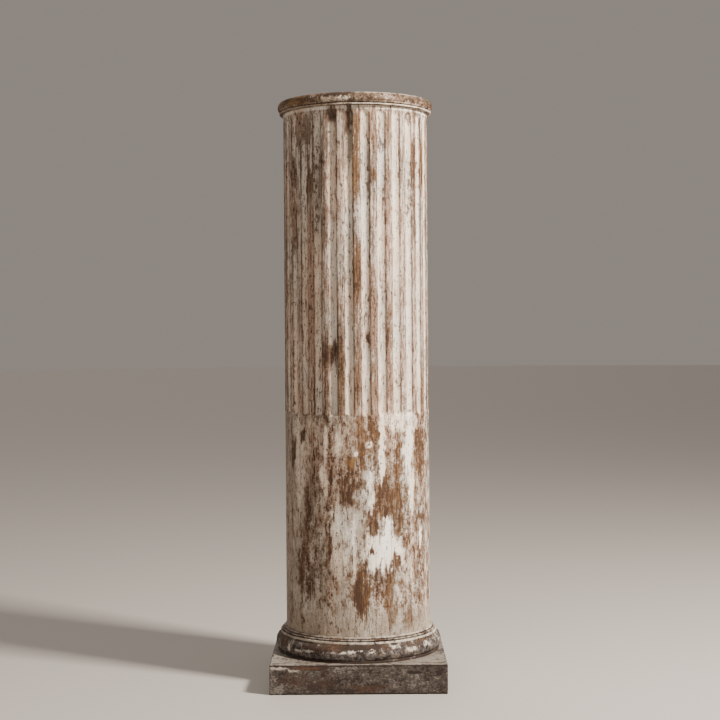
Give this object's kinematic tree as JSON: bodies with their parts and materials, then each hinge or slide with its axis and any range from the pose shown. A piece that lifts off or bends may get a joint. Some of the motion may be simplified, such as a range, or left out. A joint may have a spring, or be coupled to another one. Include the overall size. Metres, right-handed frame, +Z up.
{
  "type": "fluted column section",
  "caption": "Turned and fluted wooden column section on a square plinth, with a moulded base and cap, used as a pedestal.",
  "frame": {"origin": "centre of the plinth's underside", "axes": "+Z up along the column's axis, -Y towards the front"},
  "size_m": [0.36, 0.36, 1.219],
  "materials": {
    "plinth": "worn grey-brown paint and dirt over wood",
    "base_moulding": "worn paint over brown wood",
    "shaft": "peeling cream paint over primer and brown wood",
    "cap": "bare weathered wood with paint left in the quirks"
  },
  "bodies": {
    "root": {"plinth": "plinth", "base_moulding": "base_moulding", "shaft": "shaft", "cap": "cap"}
  },
  "joints": []
}
